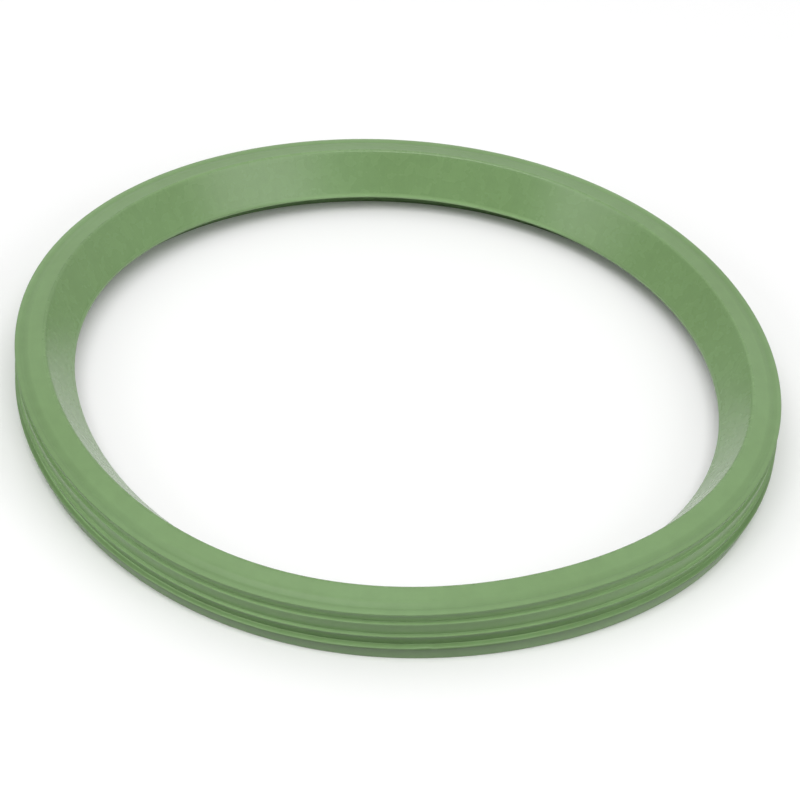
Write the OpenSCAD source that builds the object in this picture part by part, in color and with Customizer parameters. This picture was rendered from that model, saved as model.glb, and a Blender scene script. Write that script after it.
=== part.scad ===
// Pipe seal ring: a push-fit lip seal moulded in one piece of soft rubber.
// The ring lies flat with its foot on the floor and its lip pointing in and down.
// Millimetres, +Z up, origin on the ring axis at floor level.

/* [Ring] */
// Outside diameter over the lowest rib
outer_d = 128; // [90:0.5:400]
// Radial width of the section, from the lowest rib in to the lip
section_w = 9.9; // [9.6:0.1:10.8]
// Height of the sharp crest corner above the floor, before it is rounded
crest_h = 11.27; // [10.9:0.01:11.6]
// Distance of the sharp crest corner in from the lowest rib
crest_in = 5.29; // [5.2:0.01:5.5]
// Rounding radius of the crest
crest_round = 0.5; // [0.3:0.05:0.7]

/* [Top face] */
// Fall of the top face next to the crest, in degrees
fall_crest = 16; // [14:0.5:17]
// Fall of the top face next to the rim, in degrees
fall_rim = 11; // [10:0.5:12]
// Width of the steeper band next to the crest
fall_band = 2.24; // [1.6:0.02:2.26]
// Radius that blends the two slopes of the top face
fall_blend = 4; // [1:0.5:4.5]
// Distance of the bottom of the shallow groove in from the lowest rib
groove_in = 1.55; // [1.5:0.01:1.56]
// Width of the groove's gentle inner side
groove_w = 1; // [0.8:0.05:1]
// Width of the groove's steeper outer side
groove_wall = 0.5; // [0.4:0.05:0.55]
// Depth of the groove
groove_depth = 0.18; // [0.08:0.01:0.2]

/* [Rim and ribs] */
// Distance of the sharp rim corner in from the lowest rib
rim_in = 0.27; // [0.2:0.01:0.3]
// Rounding radius of the rim
rim_round = 0.18; // [0.1:0.02:0.24]
// Height of the lowest rib's edge above the floor
rib_h = 3.15; // [3:0.01:3.3]
// Height from one rib to the next
rib_pitch = 2.38; // [2.25:0.01:2.42]
// Distance of the top rib's edge in from the lowest rib
top_rib_in = 0.4; // [0.32:0.01:0.46]
// Distance of the middle rib's edge in from the lowest rib
mid_rib_in = 0.07; // [0:0.01:0.14]
// Width of the top ledge
top_ledge = 0.62; // [0.55:0.01:0.8]
// Width of the middle ledge
mid_ledge = 0.58; // [0.55:0.01:0.9]
// Width of the lowest ledge
low_ledge = 0.89; // [0.75:0.01:1.1]
// Slope of the ledges, down and outward, in degrees
ledge_fall = 6; // [0:1:8]
// Rounding radius in the corners between ledges and risers
valley_round = 0.12; // [0.06:0.02:0.24]
// Rounding radius of the ribs' edges
rib_round = 0.12; // [0.05:0.01:0.13]
// Height of the upright land round the lowest rib
land_h = 0.28; // [0.25:0.01:0.5]

/* [Foot and lip] */
// Distance of the foot's outer edge in from the lowest rib
foot_in = 0.9; // [0.8:0.02:1.2]
// Width of the flat foot
foot_w = 5.3; // [4.9:0.02:5.4]
// Rounding radius of the foot's outer edge
foot_round = 0.2; // [0.1:0.05:0.4]
// Height of the lip's lower edge above the floor
lip_h = 3.9; // [3.4:0.05:4.2]
// Height of the upright sealing land at the tip of the lip
lip_land = 0.5; // [0.3:0.05:0.8]
// Rounding radius of the two edges of the sealing land
lip_round = 0.07; // [0.04:0.01:0.1]
// Distance of the relief pocket's deepest corner in from the lowest rib
pocket_in = 6.7; // [6.4:0.05:7]
// Height of that corner above the floor
pocket_h = 4.7; // [4.4:0.05:5]
// Rounding radius in the relief pocket
pocket_round = 0.6; // [0.3:0.05:0.7]

/* [Hidden] */
R = outer_d / 2;
crest = [R - crest_in, crest_h];
knee = crest + fall_band * [1, -tan(fall_crest)];
// Height of the outer slope of the top face at radius r
function slope_z(r) = knee[1] - (r - knee[0]) * tan(fall_rim);
ga = R - groove_in - groove_w;
gm = R - groove_in;
gb = gm + groove_wall;
rim = [R - rim_in, slope_z(R - rim_in)];
lip_r = R - section_w;
// Edge of rib k, counted from the lowest, and the corner behind its ledge
rib_in = [0, mid_rib_in, top_rib_in];
ledge = [low_ledge, mid_ledge, top_ledge];
function rib_edge(k) = [R - rib_in[k], rib_h + k * rib_pitch];
function rib_valley(k) = rib_edge(k) + ledge[k] * [-1, tan(ledge_fall)];

function unit(v) = v / norm(v);
// Points of an arc of radius r that rounds the corner b between a and c
function round_at(a, b, c, r, n = 4) =
  let (u = unit(a - b), v = unit(c - b),
       half = acos(u * v) / 2,
       m = b + unit(u + v) * (r / sin(half)),
       p = b + u * (r / tan(half)), q = b + v * (r / tan(half)),
       s = atan2(p[1] - m[1], p[0] - m[0]), t = atan2(q[1] - m[1], q[0] - m[0]),
       d = (t - s > 180) ? t - s - 360 : (t - s < -180) ? t - s + 360 : t - s)
  [for (i = [0:n]) m + r * [cos(s + d * i / n), sin(s + d * i / n)]];

// Corners of the section, anticlockwise from the foot's inner edge: [point, rounding, arc steps]
corners = [
  [[R - foot_in - foot_w, 0], 0.12, 2],
  [[R - foot_in, 0], foot_round, 3],
  [[R, rib_h - land_h], 0.05, 2],
  [rib_edge(0), rib_round, 3],
  [rib_valley(0), valley_round, 5],
  [rib_edge(1), rib_round, 3],
  [rib_valley(1), valley_round, 5],
  [rib_edge(2), rib_round, 3],
  [rib_valley(2), valley_round, 5],
  [rim, rim_round, 6],
  [[gb, slope_z(gb)], 0.4, 3],
  [[gm, slope_z(gm) - groove_depth], 0.5, 4],
  [[ga, slope_z(ga)], 1.2, 3],
  [knee, fall_blend, 5],
  [crest, crest_round, 7],
  [[lip_r, lip_h + lip_land], lip_round, 2],
  [[lip_r, lip_h], lip_round, 2],
  [[R - pocket_in, pocket_h], pocket_round, 6]
];

section = [for (i = [0:len(corners) - 1])
  let (a = corners[(i + len(corners) - 1) % len(corners)][0], b = corners[i], c = corners[(i + 1) % len(corners)][0])
  each (b[1] == 0 ? [b[0]] : round_at(a, b[0], c, b[1], b[2]))];

module seal_ring() {
  color([0.48, 0.62, 0.42])
    rotate_extrude($fn = 240)
      polygon(section);
}

seal_ring();
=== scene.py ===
# Pipe seal ring: the finish, the studio and the camera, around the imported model. Metres, +Z up.
import bpy, math
import numpy as np
from mathutils import Matrix, Vector, noise


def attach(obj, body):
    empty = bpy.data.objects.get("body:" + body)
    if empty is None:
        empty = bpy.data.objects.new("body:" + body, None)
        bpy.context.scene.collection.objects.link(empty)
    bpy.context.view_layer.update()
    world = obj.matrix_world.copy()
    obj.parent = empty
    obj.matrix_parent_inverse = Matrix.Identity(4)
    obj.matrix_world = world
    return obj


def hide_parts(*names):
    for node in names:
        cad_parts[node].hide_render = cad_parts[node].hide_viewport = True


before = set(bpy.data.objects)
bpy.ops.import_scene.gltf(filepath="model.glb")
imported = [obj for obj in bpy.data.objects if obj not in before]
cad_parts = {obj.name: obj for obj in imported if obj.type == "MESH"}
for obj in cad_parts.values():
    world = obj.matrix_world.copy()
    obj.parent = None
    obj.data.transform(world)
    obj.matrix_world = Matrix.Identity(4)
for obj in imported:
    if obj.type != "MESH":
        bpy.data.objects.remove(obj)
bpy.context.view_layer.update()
MM = 0.001

# ---------------------------------------------------------------- section of the ring, millimetres
OUT_R = 64.0
FALL_CREST, FALL_RIM, FALL_LEDGE = math.radians(16.0), math.radians(11.0), math.radians(6.0)
CREST = (58.71, 11.27)
KNEE = (CREST[0] + 2.24, CREST[1] - 2.24 * math.tan(FALL_CREST))


def slope_z(r):
    return KNEE[1] - (r - KNEE[0]) * math.tan(FALL_RIM)


def rib(k):
    return (OUT_R - (0.0, 0.07, 0.4)[k], 3.15 + 2.38 * k)


def valley(k):
    w = (0.89, 0.58, 0.62)[k]
    return (rib(k)[0] - w, rib(k)[1] + w * math.tan(FALL_LEDGE))


def round_at(a, b, c, r, n):
    a, b, c = (np.array(p, float) for p in (a, b, c))
    u, v = (a - b) / np.linalg.norm(a - b), (c - b) / np.linalg.norm(c - b)
    half = math.acos(float(np.clip(u @ v, -1, 1))) / 2
    m = b + (u + v) / np.linalg.norm(u + v) * (r / math.sin(half))
    p, q = b + u * (r / math.tan(half)), b + v * (r / math.tan(half))
    s, t = math.atan2(p[1] - m[1], p[0] - m[0]), math.atan2(q[1] - m[1], q[0] - m[0])
    d = t - s
    d += -2 * math.pi if d > math.pi else 2 * math.pi if d < -math.pi else 0
    return [tuple(m + r * np.array([math.cos(s + d * i / n), math.sin(s + d * i / n)])) for i in range(n + 1)]


# corner, rounding, arc steps, longest straight step to the next corner, name of the face that follows
GROOVE = OUT_R - 1.55
CORNERS = [
    ((57.8, 0.0), 0.14, 3, 0.9, "foot"),
    ((63.1, 0.0), 0.2, 4, 0.5, "bevel"),
    ((64.0, 2.87), 0.05, 2, 0.3, "land"),
    (rib(0), 0.12, 3, 0.3, "ledge3"),
    (valley(0), 0.12, 4, 0.5, "riser3"),
    (rib(1), 0.12, 3, 0.3, "ledge2"),
    (valley(1), 0.12, 4, 0.5, "riser2"),
    (rib(2), 0.12, 3, 0.3, "ledge1"),
    (valley(2), 0.12, 4, 0.5, "riser1"),
    ((63.73, slope_z(63.73)), 0.18, 6, 0.3, "bead"),
    ((GROOVE + 0.5, slope_z(GROOVE + 0.5)), 0.4, 3, 0.2, "gwall"),
    ((GROOVE, slope_z(GROOVE) - 0.18), 0.5, 4, 0.25, "groove"),
    ((GROOVE - 1.0, slope_z(GROOVE - 1.0)), 1.2, 3, 0.2, "top"),
    (KNEE, 4.0, 4, 0.4, "top"),
    (CREST, 0.5, 9, 0.5, "cone"),
    ((54.1, 4.4), 0.07, 2, 0.3, "lip"),
    ((54.1, 3.9), 0.07, 2, 0.6, "under"),
    ((57.3, 4.7), 0.6, 6, 0.8, "wall"),
]


# painted light and shade: a factor on the full colour at the start and the end of each face; the ribs' dark flanks and
# the hollow under the lip, where shade falls, are painted darkest
SHADE = {"foot": (0.7, 0.9), "bevel": (1.02, 0.47), "land": (0.5, 0.8), "ledge3": (1.12, 1.04), "riser3": (0.88, 0.53),
         "ledge2": (1.07, 1.02), "riser2": (0.98, 0.72), "ledge1": (1.2, 1.12), "riser1": (1.13, 0.65),
         "bead": (1.0, 0.98), "gwall": (0.93, 0.92), "groove": (0.93, 0.98), "under": (0.55, 0.55), "wall": (0.55, 0.7)}


def section():
    """points round the section, the face of each, and its painted light and shade as a factor on the full colour"""
    pts, tag, shade = [], [], []
    n = len(CORNERS)
    arcs = [round_at(CORNERS[i - 1][0], CORNERS[i][0], CORNERS[(i + 1) % n][0], CORNERS[i][1], CORNERS[i][2]) for i in range(n)]
    for i in range(n):
        s0, s1 = SHADE.get(CORNERS[i][4], (1.0, 1.0))
        before = SHADE.get(CORNERS[i - 1][4], (1.0, 1.0))[1]
        pts += arcs[i]
        tag += [CORNERS[i][4]] * len(arcs[i])
        shade += [before + (s0 - before) * j / (len(arcs[i]) - 1) for j in range(len(arcs[i]))]
        a, b = np.array(arcs[i][-1]), np.array(arcs[(i + 1) % n][0])
        k = max(1, int(math.ceil(np.linalg.norm(b - a) / CORNERS[i][3])))
        for j in range(1, k):
            pts.append(tuple(a + (b - a) * j / k))
            tag.append(CORNERS[i][4])
            shade.append(s0 + (s1 - s0) * j / k)
    return np.array(pts), tag, shade


# ---------------------------------------------------------------- how the soft ring lies: a little oval and rolled
def four(c, th, orders):
    out = np.zeros_like(th)
    for i, k in enumerate(orders):
        out += c[2 * i] * np.cos(k * th) + c[2 * i + 1] * np.sin(k * th)
    return out


OVAL = (0.353, 0.843, -0.111, 0.188, -0.055, -0.394, -0.109, -0.033)  # millimetres, orders 2 to 5
ROLL = tuple(math.radians(d) for d in (3.709, 3.078, -0.697, -0.943, -1.484, 0.042, -0.918, 0.550))  # orders 1 to 4
ROLL_R, ROLL_Z = 60.982, -0.505


def lie(r, z, th):
    a, t = four(OVAL, th, (2, 3, 4, 5)), four(ROLL, th, (1, 2, 3, 4))
    return r - t * (z - ROLL_Z) + a, z + t * (r - ROLL_R)


def window(t, a, b, edge):
    """1 between the azimuths a and b (degrees), falling to 0 over edge degrees on each side"""
    d = np.degrees(t) % 360
    up = np.clip((d - a) / edge + 0.5, 0, 1)
    dn = np.clip((b - d) / edge + 0.5, 0, 1)
    w = np.minimum(up, dn)
    return w * w * (3 - 2 * w)


def ring_mesh():
    sec, tag, shade = section()
    n, m = len(sec), 660
    th = np.linspace(0, 2 * math.pi, m, endpoint=False)
    R, TH = np.meshgrid(sec[:, 0], th)
    Z = np.tile(sec[:, 1], (m, 1))
    # the lowest rib's edge and the lip's edge are not quite true: a little moulding flash, and a nick in front
    low = rib(0)
    edge = np.exp(-((sec[:, 0] - low[0]) ** 2 + (sec[:, 1] - low[1]) ** 2) / 0.22 ** 2)
    lip = np.exp(-((sec[:, 0] - 54.1) ** 2 + (sec[:, 1] - 4.15) ** 2) / 0.6 ** 2)
    flash, wave = np.zeros(m), np.zeros(m)
    for i, t in enumerate(th):
        c, s = math.cos(t), math.sin(t)
        flash[i] = 0.035 * noise.fractal(Vector((c * 9, s * 9, 3.1)), 1.0, 2.0, 3)
        wave[i] = 0.04 * noise.noise(Vector((c * 3, s * 3, 7.7)))
    flash -= 0.16 * window(th, 277.0, 279.0, 0.7) + 0.07 * window(th, 280.3, 290.0, 1.0) - 0.08 * window(th, 283.2, 284.1, 0.6)
    R += flash[:, None] * edge[None] + wave[:, None] * lip[None]
    Z += 0.3 * flash[:, None] * edge[None]
    # a faint crease across the inner cone, near azimuth 29 degrees
    crease = 30.7 - (R - 55.9) * 1.4
    on = np.array([t == "cone" for t in tag])[None] & (R > 55.2) & (R < 58.3)
    R += np.where(on, 0.05 * np.exp(-((np.degrees(TH) - crease) / 0.7) ** 2), 0.0)
    rr, zz = lie(R, Z, TH)
    zz = np.maximum(zz, 0.0)  # the soft foot flattens where it would go below the floor
    V = np.stack([rr * np.cos(TH), rr * np.sin(TH), zz], -1).reshape(-1, 3) * MM
    faces = []
    for i in range(m):
        i2 = (i + 1) % m
        for j in range(n):
            j2 = (j + 1) % n
            faces.append((i * n + j, i2 * n + j, i2 * n + j2, i * n + j2))
    me = bpy.data.meshes.new("seal_ring_rubber")
    me.from_pydata(V.tolist(), [], faces)
    me.validate()
    # two values for the finish: where the inner cone is, and the painted light and shade as a factor on the full colour
    # (painted shade: the flanks are a little darker at the front than at the sides)
    flank = np.array([1.0 if t[:5] in ("riser", "bevel", "land") else 0.0 for t in tag])
    front = np.exp(-((np.degrees(th) - 273.0) / 24.0) ** 2)
    painted_shading = np.array(shade)[None] * (1 - 0.16 * front[:, None] * flank[None])
    # painted light: to the left and right of the front the ribs' flanks and the corners behind the ledges are painted
    # lighter, the ledges and the bead a little darker
    side = window(th, 187.0, 353.0, 26.0) - window(th, 233.0, 310.0, 36.0)
    ribs = np.array([1.0 if t[:5] in ("riser", "ledge") else 0.0 for t in tag])
    low_by = np.min([np.hypot(sec[:, 0] - valley(k)[0], sec[:, 1] - valley(k)[1]) for k in range(3)], axis=0)
    painted_shading += np.maximum(0.95 - painted_shading, 0) * 0.9 * side[:, None] * ribs[None]
    painted_shading *= 1 + 0.3 * side[:, None] * np.exp(-(low_by / 0.5) ** 2)[None]
    painted_shading *= 1 - 0.13 * side[:, None] * np.array([1.0 if t[:5] == "ledge" else 0.0 for t in tag])[None]
    # painted highlight: the two upper ledges are painted paler on both sides of the front, and the lowest one along its
    # inner side
    upper_two = np.array([1.0 if t in ("ledge1", "ledge2") else 0.0 for t in tag])
    ledge_highlight = window(th, 222.0, 261.0, 14.0) + window(th, 284.0, 306.0, 14.0)
    inner = (np.hypot(sec[:, 0] - valley(0)[0], sec[:, 1] - valley(0)[1]) < 0.35) & (sec[:, 0] > valley(0)[0] + 0.06)
    inner_ledge_highlight = 0.5 * window(th, 205.0, 262.0, 20.0) + 0.15 * window(th, 262.0, 284.0, 14.0) + 0.4 * window(th, 284.0, 300.0, 14.0)
    painted_shading *= 1 + 0.11 * ledge_highlight[:, None] * upper_two[None] + inner_ledge_highlight[:, None] * inner[None]
    side_bead_shade = window(th, 185.0, 240.0, 30.0) + window(th, 305.0, 350.0, 30.0)
    # painted highlight on the crest's rounding, a little paler at the back; painted shade on its upper part on the
    # left, where its edge looks softer
    top_by = np.hypot(sec[:, 0] - CREST[0], sec[:, 1] - CREST[1])
    crest = np.exp(-(top_by / 0.5) ** 2) * (top_by < 0.6)
    crest_highlight = 0.04 * window(th, 40.0, 140.0, 20.0) + 0.07 * window(th, 112.0, 142.0, 22.0)
    painted_shading *= 1 + crest_highlight[:, None] * crest[None]
    upper = crest * np.clip(0.6 + (sec[:, 0] - CREST[0]) / 0.6, 0.3, 1)
    painted_shading *= 1 - 0.15 * window(th, 153.0, 190.0, 22.0)[:, None] * upper[None]
    # painted highlight: the lip's upright land is painted paler at the back, where it catches the light
    land = np.array([1.0 if t == "lip" else 0.0 for t in tag])
    painted_shading *= 1 + 0.3 * window(th, 62.0, 118.0, 26.0)[:, None] * land[None]
    # painted shade on the bead and groove on both sides of the front, painted highlight on them at the back
    outer = np.array([1.0 if t in ("bead", "gwall") else 0.6 if t == "groove" else 0.0 for t in tag])[None]
    painted_shading *= 1 - 0.06 * side_bead_shade[:, None] * outer + 0.1 * window(th, 45.0, 175.0, 30.0)[:, None] * outer
    cone = np.tile(np.array([1.0 if t == "cone" else 0.0 for t in tag]), (m, 1))
    for name, vals in (("cone", cone), ("shade", painted_shading)):
        at = me.attributes.new(name, "FLOAT", "POINT")
        at.data.foreach_set("value", vals.reshape(-1).astype(np.float32))
    me.shade_smooth()
    me.update()
    return me


ring = bpy.data.objects.new("ring_rubber", ring_mesh())
bpy.context.scene.collection.objects.link(ring)
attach(ring, "root")
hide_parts("seal_ring")


# ---------------------------------------------------------------- rubber
def rubber():
    mat = bpy.data.materials.new("green_rubber")
    mat.use_nodes = True
    nt = mat.node_tree
    nt.nodes.clear()
    N, L = nt.nodes.new, nt.links.new
    out, sh = N("ShaderNodeOutputMaterial"), N("ShaderNodeBsdfPrincipled")
    L(sh.outputs[0], out.inputs[0])
    co = N("ShaderNodeTexCoord")

    def noise_tex(vec, scale, detail=3.0, rough=0.55):
        t = N("ShaderNodeTexNoise")
        t.inputs["Scale"].default_value = scale
        t.inputs["Detail"].default_value = detail
        t.inputs["Roughness"].default_value = rough
        L(vec, t.inputs["Vector"])
        return t.outputs["Fac"]

    def mapped(v, a, b, c, d):
        t = N("ShaderNodeMapRange")
        for i, x in zip((1, 2, 3, 4), (a, b, c, d)):
            t.inputs[i].default_value = x
        L(v, t.inputs[0])
        return t.outputs[0]

    # direction from the axis, so that a pattern runs straight across the section
    sep, com, nor = N("ShaderNodeSeparateXYZ"), N("ShaderNodeCombineXYZ"), N("ShaderNodeVectorMath")
    L(co.outputs["Object"], sep.inputs[0])
    L(sep.outputs[0], com.inputs[0]); L(sep.outputs[1], com.inputs[1])
    nor.operation = "NORMALIZE"
    L(com.outputs[0], nor.inputs[0])
    streak = noise_tex(nor.outputs[0], 130.0, 3.0, 0.6)
    cloud = noise_tex(co.outputs["Object"], 55.0, 3.0, 0.5)
    mottle = noise_tex(co.outputs["Object"], 420.0, 2.0, 0.5)
    grain = noise_tex(co.outputs["Object"], 5200.0, 2.0, 0.6)

    base = N("ShaderNodeMixRGB")
    base.inputs[1].default_value = (0.157, 0.265, 0.104, 1)
    base.inputs[2].default_value = (0.179, 0.298, 0.127, 1)
    L(mapped(cloud, 0.3, 0.7, 0.2, 0.8), base.inputs[0])
    fine = N("ShaderNodeMixRGB"); fine.blend_type = "MULTIPLY"; fine.inputs[0].default_value = 1.0
    L(base.outputs[0], fine.inputs[1])
    g = N("ShaderNodeCombineXYZ")
    m1 = mapped(mottle, 0.3, 0.7, 0.97, 1.03)
    for i in range(3):
        L(m1, g.inputs[i])
    L(g.outputs[0], fine.inputs[2])
    at = N("ShaderNodeAttribute"); at.attribute_name = "cone"
    sa = N("ShaderNodeAttribute"); sa.attribute_name = "shade"
    st = N("ShaderNodeMath"); st.operation = "MULTIPLY"
    L(mapped(streak, 0.35, 0.65, -0.02, 0.02), st.inputs[0]); L(at.outputs["Fac"], st.inputs[1])
    one = N("ShaderNodeMath"); one.operation = "ADD"; one.inputs[1].default_value = 1.0
    L(st.outputs[0], one.inputs[0])
    tot = N("ShaderNodeMath"); tot.operation = "MULTIPLY"
    L(one.outputs[0], tot.inputs[0]); L(sa.outputs["Fac"], tot.inputs[1])
    # painted light and shade: the colour is multiplied by the painted factor, and where it is low the colour is also a
    # little purer
    g2 = N("ShaderNodeCombineXYZ")
    for i, p in enumerate((1.12, 1.0, 1.2)):
        pw = N("ShaderNodeMath"); pw.operation = "POWER"; pw.inputs[1].default_value = p
        L(tot.outputs[0], pw.inputs[0]); L(pw.outputs[0], g2.inputs[i])
    shade = N("ShaderNodeMixRGB"); shade.blend_type = "MULTIPLY"; shade.inputs[0].default_value = 1.0
    L(fine.outputs[0], shade.inputs[1]); L(g2.outputs[0], shade.inputs[2])
    L(shade.outputs[0], sh.inputs["Base Color"])
    # the inner cone comes off a smoother part of the mould
    rough = N("ShaderNodeMath"); rough.operation = "MULTIPLY_ADD"; rough.inputs[1].default_value = -0.12
    L(at.outputs["Fac"], rough.inputs[0]); L(mapped(mottle, 0.3, 0.7, 0.385, 0.4), rough.inputs[2])
    L(rough.outputs[0], sh.inputs["Roughness"])

    # bump: fine grain everywhere, faint straight marks across the inner cone
    mul = N("ShaderNodeMath"); mul.operation = "MULTIPLY"
    L(streak, mul.inputs[0]); L(at.outputs["Fac"], mul.inputs[1])
    b1 = N("ShaderNodeBump"); b1.inputs["Strength"].default_value = 0.1; b1.inputs["Distance"].default_value = 0.00001
    L(mul.outputs[0], b1.inputs["Height"])
    b2 = N("ShaderNodeBump"); b2.inputs["Strength"].default_value = 0.25; b2.inputs["Distance"].default_value = 0.00002
    calm = N("ShaderNodeMath"); calm.operation = "MULTIPLY_ADD"
    calm.inputs[1].default_value = -0.8; calm.inputs[2].default_value = 1.0
    L(at.outputs["Fac"], calm.inputs[0])
    gr = N("ShaderNodeMath"); gr.operation = "MULTIPLY"
    L(grain, gr.inputs[0]); L(calm.outputs[0], gr.inputs[1])
    L(gr.outputs[0], b2.inputs["Height"]); L(b1.outputs[0], b2.inputs["Normal"])
    L(b2.outputs[0], sh.inputs["Normal"])
    sh.inputs["Specular IOR Level"].default_value = 0.47
    sh.inputs["Sheen Weight"].default_value = 0.0
    return mat


ring.data.materials.append(rubber())

# ---------------------------------------------------------------- floor, light, world
fl = bpy.data.meshes.new("floor")
fl.from_pydata([(-4, -4, 0), (4, -4, 0), (4, 4, 0), (-4, 4, 0)], [], [(0, 1, 2, 3)])
floor = bpy.data.objects.new("floor", fl)
bpy.context.scene.collection.objects.link(floor)
fm = bpy.data.materials.new("pale_floor"); fm.use_nodes = True
fb = fm.node_tree.nodes["Principled BSDF"]
fb.inputs["Base Color"].default_value = (0.9, 0.9, 0.9, 1)
fb.inputs["Roughness"].default_value = 0.9
fl.materials.append(fm)

# a pale room: dim in front and low down, brighter above and behind
w = bpy.data.worlds.new("studio"); bpy.context.scene.world = w; w.use_nodes = True
wt = w.node_tree
bg = wt.nodes["Background"]
bg.inputs[0].default_value = (1.0, 1.0, 1.0, 1)
wc, ws = wt.nodes.new("ShaderNodeTexCoord"), wt.nodes.new("ShaderNodeSeparateXYZ")
wt.links.new(wc.outputs["Generated"], ws.inputs[0])


def wmath(op, a, b):
    n = wt.nodes.new("ShaderNodeMath"); n.operation = op
    for i, v in enumerate((a, b)):
        if isinstance(v, (int, float)):
            n.inputs[i].default_value = v
        else:
            wt.links.new(v, n.inputs[i])
    return n.outputs[0]


def wramp(v, a, b, c, d):
    n = wt.nodes.new("ShaderNodeMapRange"); n.interpolation_type = "SMOOTHSTEP"
    for i, x in zip((1, 2, 3, 4), (a, b, c, d)):
        n.inputs[i].default_value = x
    wt.links.new(v, n.inputs[0])
    return n.outputs[0]


lift = wmath("ADD", ws.outputs[2], wmath("MULTIPLY", ws.outputs[1], 0.69))
wt.links.new(wramp(lift, -0.24, 1.19, 0.094, 0.772), bg.inputs[1])


def softbox(name, elevation, azimuth, half_w, half_h, level, d=1.6):
    """a soft box aimed at the ring; half_w and half_h are its half sizes as tangents, level its brightness"""
    e, a = math.radians(elevation), math.radians(azimuth)
    li = bpy.data.lights.new(name, "AREA")
    li.shape = "RECTANGLE"; li.size, li.size_y = 2 * half_w * d, 2 * half_h * d
    li.energy = level * math.pi * li.size * li.size_y
    o = bpy.data.objects.new(name, li)
    o.location = d * Vector((math.cos(e) * math.cos(a), math.cos(e) * math.sin(a), math.sin(e)))
    o.rotation_euler = (-o.location).to_track_quat("-Z", "Y").to_euler()
    bpy.context.scene.collection.objects.link(o)


softbox("key", 65.0, 262.0, 0.47, 0.24, 3.95)
softbox("left", 29.0, 215.0, 0.26, 0.22, 2.9)
softbox("right", 30.0, 327.0, 0.26, 0.28, 2.55)

# ---------------------------------------------------------------- camera
E, RHO = math.radians(39.3038), math.radians(7.4388)
UNIT, LIFT = 0.05892, 0.01069
C = Vector((0.003904, -0.231631, 0)) + 8.0 * Vector((0, -math.cos(E), math.sin(E)))
fw = Vector((0, math.cos(E), -math.sin(E)))
rt, up = Vector((1, 0, 0)), Vector((0, math.sin(E), math.cos(E)))
rt2 = math.cos(RHO) * rt + math.sin(RHO) * up
up2 = -math.sin(RHO) * rt + math.cos(RHO) * up
cd = bpy.data.cameras.new("camera")
cd.sensor_fit, cd.sensor_width = "HORIZONTAL", 36.0
cd.lens = 129.4725
cd.clip_start, cd.clip_end = 0.01, 50
cam = bpy.data.objects.new("camera", cd)
M = Matrix.Identity(4)
for i in range(3):
    M[i][0], M[i][1], M[i][2] = rt2[i], up2[i], -fw[i]
    M[i][3] = C[i] * UNIT
M[2][3] += LIFT
cam.matrix_world = M
bpy.context.scene.collection.objects.link(cam)
bpy.context.scene.camera = cam

bpy.context.scene.view_settings.view_transform = "Standard"
bpy.context.scene.view_settings.look = "None"
